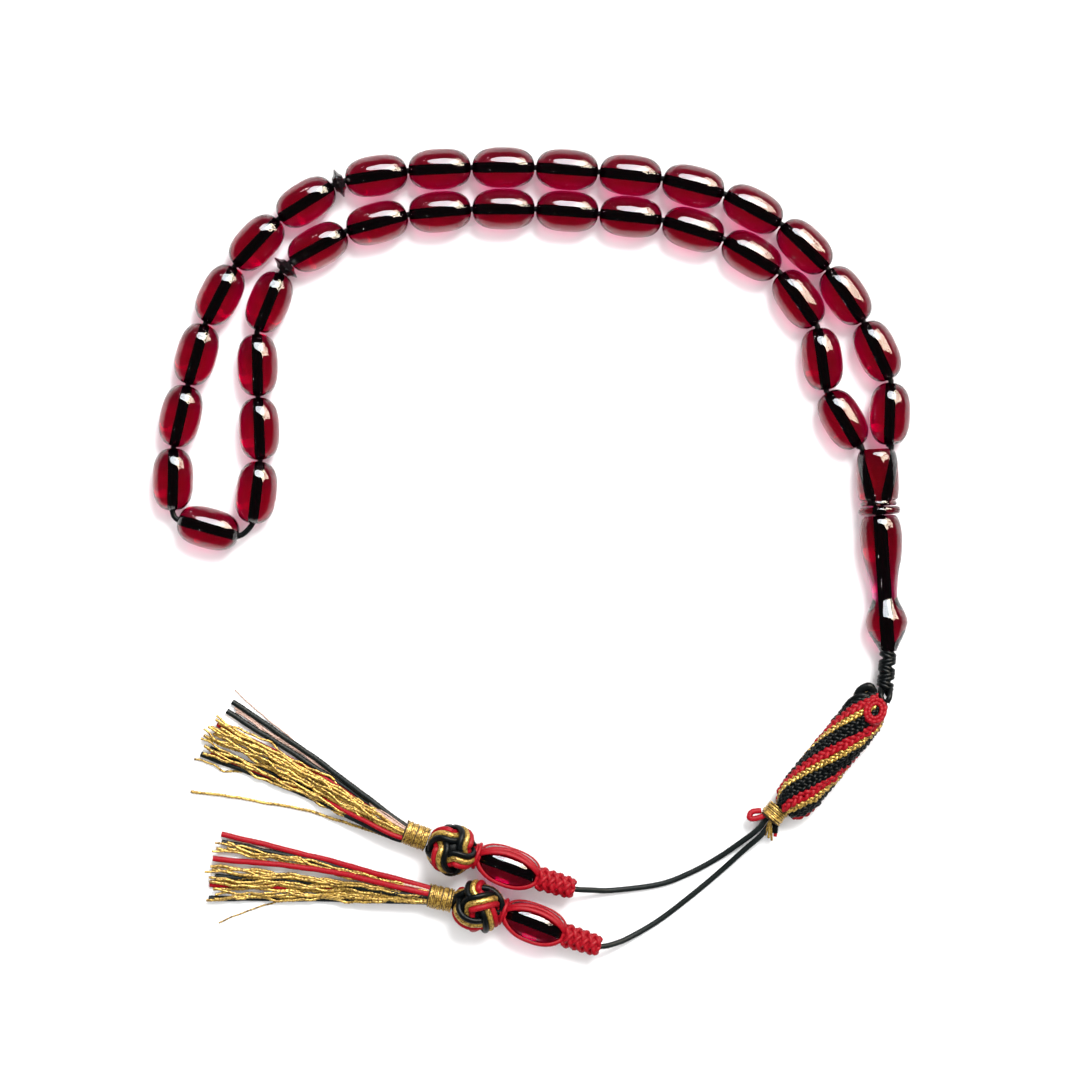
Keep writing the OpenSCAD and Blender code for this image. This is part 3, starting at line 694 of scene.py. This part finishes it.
def loop_and_stubs(seat, colours):
    """The red loop that the neck's legs enter, the black humps beside it, and the ends at the wrapping."""
    head = seat.at(-braid_l / 2)
    eye = Seat(head + Vector((-1.2 * MM, -2.9 * MM, 3.7 * MM)), (-0.40, -0.84, 0.36))
    for size, lift, thick in ((1.3, 0.0, 0.5), (0.86, 0.05, 0.46), (1.1, -0.7, 0.9)):
        ring = [eye.at(1.95 * MM * size * math.cos(a), 1.5 * MM * size * math.sin(a),
                       (lift + 0.12 * math.sin(14 * a)) * MM) for a in np.linspace(0, TAU, 90)]
        tube(colours["red"], ring, thick * MM, 14, braid_relief(6, 1.1 * MM, 0.24))
    humps = (((-0.36, 3.0, 0.6), (-0.44, 3.9, 0.9), (-0.505, 3.0, 1.2), (-0.49, 1.2, 0.8)),
             ((-0.26, 3.7, 0.3), (-0.34, 4.0, 0.9), (-0.42, 3.2, 1.6), (-0.45, 1.6, 1.6)))
    for hump, thick in zip(humps, (0.9, 0.75)):
        line = smooth([seat.at(braid_l * share, right * MM, top * MM) for share, right, top in hump])
        tube(colours["black"], resampled(line, 0.15 * MM), thick * MM, 16, FINE_BRAID, round_ends=True)
    eye_gold = smooth([eye.at(-0.6 * MM, -0.3 * MM, -1.0 * MM), eye.at(0.5 * MM, 0.3 * MM, -0.6 * MM),
                       eye.at(1.6 * MM, -0.4 * MM, -0.9 * MM)])
    tube(colours["gold"], resampled(eye_gold, 0.1 * MM), 0.36 * MM, 10, twist_relief(2, 0.8 * MM, 0.25))

    wrap = turned_seat("braid_wrap", TAIL_WAY)
    end = wrap.length / 2

    def off(ahead, right, top=0.0):
        return wrap.at(end + ahead * MM, right * MM, top * MM)

    stub = smooth([wrap.at(0, 1.0 * MM), off(0, 1.5, 0.3), off(1.7, 2.6, 0.5), off(2.2, 3.6, 0.4),
                   off(1.0, 3.9, 0.1), off(-0.4, 2.6, -0.2)])
    tube(colours["red"], resampled(stub, 0.12 * MM), 0.62 * MM, 16, FINE_BRAID)
    for drift, z in ((-0.3, 0.8), (0.2, 0.2), (-0.9, -0.2)):
        thread = smooth([wrap.at(0, -0.3 * MM, z * MM), off(0, -0.2 + drift * 0.4, z + 0.4),
                         off(1.6, drift - 0.9, z), off(3.0, drift * 1.6 - 1.7, z - 0.6)])
        tube(colours["gold"], resampled(thread, 0.1 * MM), 0.28 * MM, 10, twist_relief(2, 0.7 * MM, 0.25))
    bit = smooth([wrap.at(0, -1.3 * MM), off(0, -1.7), off(1.3, -2.6, -0.3)])
    tube(colours["black"], resampled(bit, 0.12 * MM), 0.62 * MM, 14, FINE_BRAID)
    tip = smooth([off(0.9, -2.5, -0.2), off(1.9, -3.1, -0.4)])
    tube(colours["red"], resampled(tip, 0.1 * MM), 0.4 * MM, 12, FINE_BRAID)


make_braid()


# ---------------------------------------------------------------- wrappings of gold thread
def wrapping(name, body, cad, seat, diameter, turns, thick, seed):
    """Turns of gold thread that now and then cross, over a dark brown body whose colour is painted shade in
    the gaps between the turns.
    """
    rng = random.Random(seed)
    length = seat.length
    core_r = diameter / 2 - 1.7 * thick
    core = solid_lathe([(core_r * 0.7, -length * 0.5), (core_r, -length * 0.47), (core_r, length * 0.47),
                        (core_r * 0.7, length * 0.5)], 32)
    soup = Soup()
    # painted shade: the core is coloured dark brown (SHADE) so the gaps between the turns of thread show dark
    add_turned(soup, core, seat, 1)
    for layer, (count, lean) in enumerate(((turns, 0.0), (turns // 3, 0.5))):
        r = diameter / 2 - thick * (1.1 - 0.5 * layer)
        path = []
        drift = [rng.uniform(-1, 1) for _ in range(count + 2)]
        n = count * 26
        for i in range(n + 1):
            t = i / n
            k = int(t * count)
            wobble = drift[k] + (drift[min(k + 1, count)] - drift[k]) * (t * count - k)
            a = TAU * t * count
            ahead = (t - 0.5) * (length - 2 * thick) + wobble * thick * 0.7 + lean * MM * math.sin(a + 1)
            ahead = max(-length / 2 + thick, min(length / 2 - thick, ahead))
            out = r + thick * 0.35 * math.sin(a * 3.1 + wobble)
            path.append(seat.at(ahead, out * math.cos(a), out * math.sin(a)))
        tube(soup, path, thick, 8, twist_relief(2, 0.9 * MM, 0.12))
    place(name, soup.mesh(name, [GOLD, SHADE]), body, [cad])


wrapping("braid_wrapping", "tail", "braid_wrap", turned_seat("braid_wrap", TAIL_WAY), wrap_d, 7, 0.17 * MM, 3)
wrapping("tassel_wrapping_a", "tassel_a", "tassel_wrap_a", COLLARS[0], collar_d, 13, 0.16 * MM, 5)
wrapping("tassel_wrapping_b", "tassel_b", "tassel_wrap_b", COLLARS[1], collar_d, 13, 0.16 * MM, 8)


# ---------------------------------------------------------------- tassel beads, nets and caps
def make_held(k):
    letter, seat = "ab"[k], HELD[k]
    outline = barrel(bead_l, held_d, bore_d, bead_full, 40)
    # painted light: the lighter resin copy stands in for the red light from the net cords
    data = lathe(outline, 72).mesh("held_bead", [RESIN_WITH_PAINTED_GLOW, BORE])
    data.set_sharp_from_angle(angle=math.radians(50))
    place(f"tassel_bead_{letter}_barrel", data, f"tassel_{letter}", [f"tassel_bead_{letter}"],
          seat.matrix())


# How far round each cord of the net runs, from the ground side, and its half width
NET_CORDS = [(0, 0.42), (60, 0.46), (117, 0.56), (223, 0.56), (238, 0.56), (300, 0.46)]


def make_net(k):
    """The cords that run from end to end of the bead, and the rings of cord that gather them."""
    letter, seat = "ab"[k], HELD[k]
    soup = Soup()
    thick = 0.34 * MM
    line = barrel(bead_l + 0.4 * MM, held_d + 2 * (0.08 * MM + thick), held_d * 0.42, bead_full, 40)
    for way, half in NET_CORDS:
        path = []
        for r, x in line:
            drawn_in = 0.42 * (2 * x / bead_l) ** 2 if 90 < way < 270 else 0
            a = math.radians(way + (180 - way) * drawn_in - 90)
            path.append(seat.at(x, -r * math.cos(a), r * math.sin(a)))
        path = resampled([tuple(q) for q in path], 0.13 * MM)
        flat_tube(soup, path, seat, half * MM, thick)
    for end in (-1, 1):
        r, x = line[0][0], abs(line[0][1]) * end
        for row in range(3):
            ring = [seat.at(x + end * (row * 0.1 - 0.15) * MM, (r - row * 0.62 * MM) * math.cos(a),
                            (r - row * 0.62 * MM) * math.sin(a)) for a in np.linspace(0, TAU, 50)]
            tube(soup, ring, 0.42 * MM, 10, FINE_BRAID)
    for row, r in enumerate((2.5, 2.1, 1.7)):
        ring = [seat.at(line[-1][1] + (0.35 + 0.55 * row) * MM, r * MM * math.cos(a), r * MM * math.sin(a))
                for a in np.linspace(0, TAU, 50)]
        tube(soup, ring, 0.45 * MM, 10, FINE_BRAID)
    place(f"bead_net_{letter}_cords", soup.mesh("net", [RED]), f"tassel_{letter}", [f"bead_net_{letter}"])


def flat_tube(soup, path, seat, half, thick):
    """A braided cord pressed flat on a bead: half wide each way across, thick each way out."""
    p = np.asarray(path)
    t = np.gradient(p, axis=0)
    t /= np.linalg.norm(t, axis=1)[:, None]
    axis = np.array(seat.ahead)
    middle = np.array(seat.middle)
    off = p - middle
    out = off - (off @ axis)[:, None] * axis
    out /= np.linalg.norm(out, axis=1)[:, None]
    out -= (out * t).sum(1)[:, None] * t
    out /= np.linalg.norm(out, axis=1)[:, None]
    side = np.cross(t, out)
    along = lengths(p)
    sides = 18
    angle = np.linspace(0, TAU, sides, endpoint=False)
    relief = braid_relief(6, 1.1 * MM, 0.3)(along[:, None], angle[None, :])
    rings = (p[:, None, :] + (half * relief * np.cos(angle))[..., None] * side[:, None, :]
             + (thick * relief * np.sin(angle))[..., None] * out[:, None, :])
    faces = []
    for i in range(len(p) - 1):
        faces += band_faces(i * sides, (i + 1) * sides, sides)
    faces.append(tuple(reversed(range(sides))))
    faces.append(tuple((len(p) - 1) * sides + k for k in range(sides)))
    soup.add(rings.reshape(-1, 3), faces)


def make_cap(k):
    """A cap braided from cords that go both ways round, closed inside by a core."""
    letter, seat = "ab"[k], CAPS[k]
    length = seat.length + 0.4 * MM

    def radius(t):
        return (1.62 + 0.34 * t + 0.08 * math.sin(TAU * 2.4 * t)) * MM * (1 - 0.3 * max(0, 1 - t / 0.1) ** 2)

    soup = Soup()
    round_braid(soup, seat, length, radius, 4, 1.15, 0.52 * MM, 0.2 * MM, braid_relief(6, 0.8 * MM, 0.24),
                step=0.12 * MM)
    shares = [k / 16 for k in range(17)]
    core = solid_lathe([(radius(t) * 0.96, (t - 0.5) * length * 0.96) for t in shares], 24)
    add_turned(soup, core, seat)
    place(f"tassel_cap_{letter}_braid", soup.mesh("cap", [RED]), f"tassel_{letter}", [f"tassel_cap_{letter}"])


# ---------------------------------------------------------------- ball knots
def make_ball(k):
    """A ball knot: one band of three strands that goes round and weaves through itself."""
    letter = "ab"[k]
    lo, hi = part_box(f"ball_knot_{letter}")
    middle = (lo + hi) / 2
    middle.z = ball_d / 2 + 0.2 * MM
    pole = (Vector((0.10, 0.22, 1.0)), Vector((-0.75, 0.55, 0.62)))[k].normalized()
    side = pole.cross(Vector((0.3, 1, 0))).normalized()
    front = pole.cross(side)
    thick = 0.66 * MM
    core = ball_d / 2 - 0.98 * MM
    inner_r = core * 0.88
    strand_gap = 1.22 * MM
    leads, bights, tilt = 3, 4, math.radians(58)
    n = 900
    band = []
    for i in range(n):
        t = TAU * i / n
        lon, lat = leads * t + (0.4, 1.1)[k], tilt * math.cos(bights * t)
        out = core + 0.62 * MM * math.sin(2 * bights * t)
        way = (math.cos(lat) * math.cos(lon), math.cos(lat) * math.sin(lon), math.sin(lat))
        band.append(out * np.array(way))
    band = np.array(band)
    run = np.roll(band, -1, 0) - np.roll(band, 1, 0)
    across = np.cross(band, run)
    across /= np.linalg.norm(across, axis=1)[:, None]
    basis = np.array((side, front, pole))
    for offset, name in ((-1.0, "red"), (0.0, "gold"), (1.0, "black")):
        line = band + across * offset * strand_gap
        line *= (np.linalg.norm(band, axis=1) / np.linalg.norm(line, axis=1))[:, None]
        line = line @ basis + np.array(middle)
        line = np.vstack([line, line[:2]])
        soup = Soup()
        relief = twist_relief(3, 1.2 * MM, 0.24) if name == "gold" else braid_relief(6, 0.9 * MM, 0.2)
        tube(soup, resampled(line, 0.17 * MM), thick, 14, relief)
        if name == "black":
            steps = [math.pi * j / 20 for j in range(1, 20)]
            inner = solid_lathe([(inner_r * math.sin(a), -inner_r * math.cos(a)) for a in steps], 32)
            soup.add(np.vstack(inner.points) + np.array(middle), inner.faces)
        place(f"ball_knot_{letter}_{name}", soup.mesh("ball", [WAXED_PAINT[name]]), f"tassel_{letter}",
              [f"ball_knot_{letter}"])


for k in (0, 1):
    make_held(k)
    make_net(k)
    make_cap(k)
    make_ball(k)


# ---------------------------------------------------------------- fringes
# Each strand: colour, where it leaves the wrapping (right, up), where it ends (ahead, right), its bow, its
# radius, and its height where it lies; all in millimetres
A_STRANDS = [("black", (1.8, 0.4), (44.0, 6.9), 0.4, 0.6, 0.7),
             ("black", (1.2, -0.6), (44.1, 4.6), 0.2, 0.6, 0.7),
             ("black", (-0.9, -1.3), (43.6, -4.0), 0.3, 0.6, 0.7),
             ("black", (-1.9, 0.5), (44.7, -5.9), 0.4, 0.6, 0.7),
             ("red", (0.6, -0.2), (44.6, 1.2), 1.1, 0.5, 0.9),
             ("red", (-1.3, 1.4), (42.9, -4.9), 0.4, 0.5, 0.8)]
B_STRANDS = [("red", (1.8, 0.4), (44.3, 5.6), 0.3, 0.6, 0.7),
             ("black", (1.0, -0.6), (44.0, 3.9), 0.6, 0.6, 0.7),
             ("red", (0.5, 1.4), (45.2, 0.3), 1.1, 0.62, 1.8),
             ("black", (-0.4, 1.0), (44.2, -3.4), 0.2, 0.6, 0.9),
             ("red", (-0.9, -1.2), (45.1, -5.2), 0.2, 0.6, 0.7),
             ("black", (-1.8, 0.1), (44.8, -8.1), -0.2, 0.6, 0.7)]
# Loose threads, each with its ends, bow, radius and crinkle
A_LOOSE = [("gold", (-1.5, 0.8), (45.4, -7.7), 1.6, 0.24, 0.3),
           ("gold", (-2.2, -0.4), (42.9, -13.7), 0.6, 0.34, 0.06),
           ("peach", (1.6, 1.0), (44.7, 9.1), -0.5, 0.16, 0.06),
           ("peach", (1.3, 0.6), (43.0, 5.9), 0.3, 0.34, 0.1),
           ("peach", (1.1, 0.9), (42.4, 5.3), 0.4, 0.26, 0.14)]
B_LOOSE = [("gold", (-1.6, -1.0), (42.0, -12.8), 4.2, 0.18, 0.1),
           ("peach", (1.3, 0.9), (43.0, 4.7), 0.4, 0.26, 0.1)]


def fringe_frame(k):
    """The point where the fringe leaves its wrapping, and the way its bundle points."""
    letter, way = "ab"[k], (152, 171)[k]
    start = Vector(JOINTS[f"fringe_{letter}_swing"]["pos_m"])
    ahead = Vector((math.cos(math.radians(way)), math.sin(math.radians(way)), 0))
    return Seat(start, ahead), COLLARS[k].ahead


def strand_path(seat, out_way, start, end, bow, lie, wave, rng, step, sink=0.5):
    """A strand from inside the wrapping, out along it, and down to its free end on the ground."""
    base = seat.middle
    right0, up0 = start
    ahead1, right1 = end
    p0 = base - out_way * 1.0 * MM + seat.right * right0 * 0.72 * MM
    p1 = base + out_way * 2.0 * MM + seat.right * right0 * MM
    p3 = base + seat.ahead * ahead1 * MM + seat.right * right1 * MM
    p2 = base + seat.ahead * ahead1 * 0.5 * MM + seat.right * (right0 * 0.6 + right1 * 0.42 + bow) * MM
    flat = smooth([tuple(p0), tuple(p1), tuple(p2), tuple(p3)], 40)
    path = resampled(flat, step * MM)
    along = lengths(path) / MM
    total = along[-1]
    t = np.clip((along - 3.5) / (total * sink), 0, 1)
    fall = t * t * (3 - 2 * t)
    drawn_in = 0.72 + 0.28 * np.clip(along / 3, 0, 1)
    path[:, 2] = (seat.middle.z + up0 * MM * drawn_in) * (1 - fall) + lie * MM * fall
    fade = np.clip((along - 1.5) / 6, 0, 1)
    across = np.array(seat.right)
    for length in (15.0, 7.0, 3.7):
        size = wave * length / 9 * MM
        a, b = rng.uniform(0, TAU), rng.uniform(0, TAU)
        path += (fade * size * np.sin(TAU * along / length + a))[:, None] * across
        path[:, 2] += np.maximum(fade * size * 0.6 * np.sin(TAU * along / length + b), -lie * MM * 0.15)
    return path


def free_cord(k, name, colour, path, radius, sides, relief):
    """One cord or thread of the fringe, above the ground, as a piece of its own."""
    letter = "ab"[k]
    path[:, 2] = np.maximum(path[:, 2], radius * MM)
    soup = Soup()
    tube(soup, path, radius * MM, sides, relief)
    name = f"fringe_{letter}_{name}"
    data = soup.mesh(name, [PAINT[colour]])
    piece = place(name, data, f"fringe_{letter}_body", [f"fringe_{letter}"])


def main_strand(k, index, colour, start, end, bow, radius, lie):
    seat, out_way = fringe_frame(k)
    rng = random.Random(100 + 10 * k + index)
    path = strand_path(seat, out_way, start, end, bow, lie, 0.03, rng, 0.13)
    free_cord(k, f"{colour}_cord_{index}", colour, path, radius, 18, FINE_BRAID)


def loose_thread(k, index, colour, start, end, bow, radius, wave):
    seat, out_way = fringe_frame(k)
    rng = random.Random(200 + 10 * k + index)
    path = strand_path(seat, out_way, start, end, bow, radius + 0.05, wave, rng, 0.12, sink=0.35)
    free_cord(k, f"loose_{index}", colour, path, radius, 10, twist_relief(2, 1.5 * MM, 0.3))


def gold_bundle(k, bands, seed):
    """The mass of gold threads: each thread crinkled, in bands that lie between and on the cords."""
    letter = "ab"[k]
    seat, out_way = fringe_frame(k)
    rng = random.Random(seed)
    soup = Soup()
    for count, start, end, lie in bands:
        for j in range(count):
            f = (j + 0.5) / count
            right0 = start[0] + (start[1] - start[0]) * f
            right1 = end[1] + (end[2] - end[1]) * f + rng.uniform(-0.4, 0.4)
            up0 = rng.uniform(-0.6, 1.6) if abs(right0) < 1.3 else rng.uniform(-0.6, 0.8)
            ahead1 = end[0] + rng.uniform(-2.0, 1.4)
            bow, height, wave = rng.uniform(-0.3, 0.5), lie + rng.uniform(-0.3, 0.4), rng.uniform(0.1, 0.26)
            path = strand_path(seat, out_way, (right0, up0), (ahead1, right1), bow, height, wave, rng, 0.2)
            radius = rng.choice((0.28, 0.33, 0.38)) * MM
            path[:, 2] = np.maximum(path[:, 2], radius)
            tube(soup, path, radius, 9, twist_relief(2, rng.uniform(1.3, 1.9) * MM, 0.36))
    name = f"fringe_{letter}_gold_threads"
    place(name, soup.mesh(name, [GOLD]), f"fringe_{letter}_body", [f"fringe_{letter}"])


for k, (strands, loose) in enumerate(((A_STRANDS, A_LOOSE), (B_STRANDS, B_LOOSE))):
    for index, strand in enumerate(strands):
        main_strand(k, index + 1, *strand)
    for index, thread in enumerate(loose):
        loose_thread(k, index + 1, *thread)
# Bands of gold thread: how many, the span at the wrapping, the reach and span at the ends, and the height
gold_bundle(0, [(9, (-0.9, 1.3), (45.0, -3.6, 3.4), 1.7), (6, (-0.7, 1.3), (45.4, -1.6, 2.2), 2.4),
                (3, (-1.9, -1.3), (44.0, -5.0, -3.6), 1.7)], 11)
gold_bundle(1, [(5, (0.9, 1.5), (44.6, 1.6, 4.2), 1.3), (8, (-1.2, 0.2), (45.2, -4.2, -0.8), 1.5),
                (4, (-1.8, -1.1), (45.2, -7.0, -5.0), 1.6), (2, (-2.0, -1.6), (44.4, -8.2, -7.2), 1.7)], 23)


# ---------------------------------------------------------------- stage and light
def make_stage():
    """The pale ground that everything lies on."""
    material, _, bsdf = new_material("pale_floor")
    bsdf.inputs["Base Color"].default_value = (0.93, 0.93, 0.93, 1)
    bsdf.inputs["Roughness"].default_value = 0.9
    bsdf.inputs["Specular IOR Level"].default_value = 0.0
    size = 3.0
    data = bpy.data.meshes.new("floor")
    corners = [(-size, -size, 0), (size, -size, 0), (size, size, 0), (-size, size, 0)]
    data.from_pydata(corners, [], [(0, 1, 2, 3)])
    data.materials.append(material)
    floor = bpy.data.objects.new("floor", data)
    clear_of_pieces = 0.05 * MM
    floor.location.z = -clear_of_pieces
    bpy.context.scene.collection.objects.link(floor)


def area_light(name, direction, distance, size, radiance, colour=(1, 1, 1), glossy=True, diffuse=True,
               shape="RECTANGLE"):
    """A lamp that shines at the origin. glossy lets it be mirrored, and diffuse lets it light."""
    data = bpy.data.lights.new(name, "AREA")
    data.shape = shape
    data.size, data.size_y = size
    data.energy = radiance * math.pi * size[0] * size[1]
    data.color = colour
    light = bpy.data.objects.new(name, data)
    d = Vector(direction).normalized()
    light.location = d * distance
    light.rotation_mode = "QUATERNION"
    light.rotation_quaternion = (-d).to_track_quat("-Z", "Y")
    light.visible_camera = False
    light.visible_glossy = glossy
    light.visible_diffuse = diffuse
    light.visible_transmission = diffuse
    bpy.context.scene.collection.objects.link(light)


def from_angles(azimuth, elevation):
    """A direction from its angle round from +X and its height above the ground, in degrees."""
    a, e = math.radians(azimuth), math.radians(elevation)
    return math.cos(a) * math.cos(e), math.sin(a) * math.cos(e), math.sin(e)


def make_light():
    world = bpy.data.worlds.new("world")
    world.use_nodes = True
    world.node_tree.nodes["Background"].inputs["Color"].default_value = (0.96, 0.97, 1.0, 1)
    world.node_tree.nodes["Background"].inputs["Strength"].default_value = 0.05
    bpy.context.scene.world = world
    area_light("key", from_angles(64, 56), 3.0, (1.1, 1.1), radiance=28, glossy=False)
    area_light("fill", (0, 0, 1), 1.8, (3.2, 3.2), radiance=1.8, glossy=False)
    # What the polished pieces mirror: a cool window, a warm blind beside it, and two small lamps
    area_light("window", from_angles(78, 47), 1.0, (0.98, 0.56), radiance=15, colour=(0.88, 0.94, 1.0),
               diffuse=False, shape="ELLIPSE")
    for k in range(6):
        area_light(f"blind_{k}", from_angles(50 - 2 * k, 56 - 7 * k), 0.95, (0.55 + 0.05 * k, 0.075),
                   radiance=26, colour=(1.0, 0.87, 0.68), diffuse=False)
    area_light("glint_left", from_angles(116, 27), 1.0, (0.16, 0.03), radiance=30, diffuse=False)
    area_light("glint_low", from_angles(223, 61), 1.0, (0.10, 0.02), radiance=30, diffuse=False)
    bpy.context.scene.view_settings.view_transform = "Standard"


make_stage()
make_light()
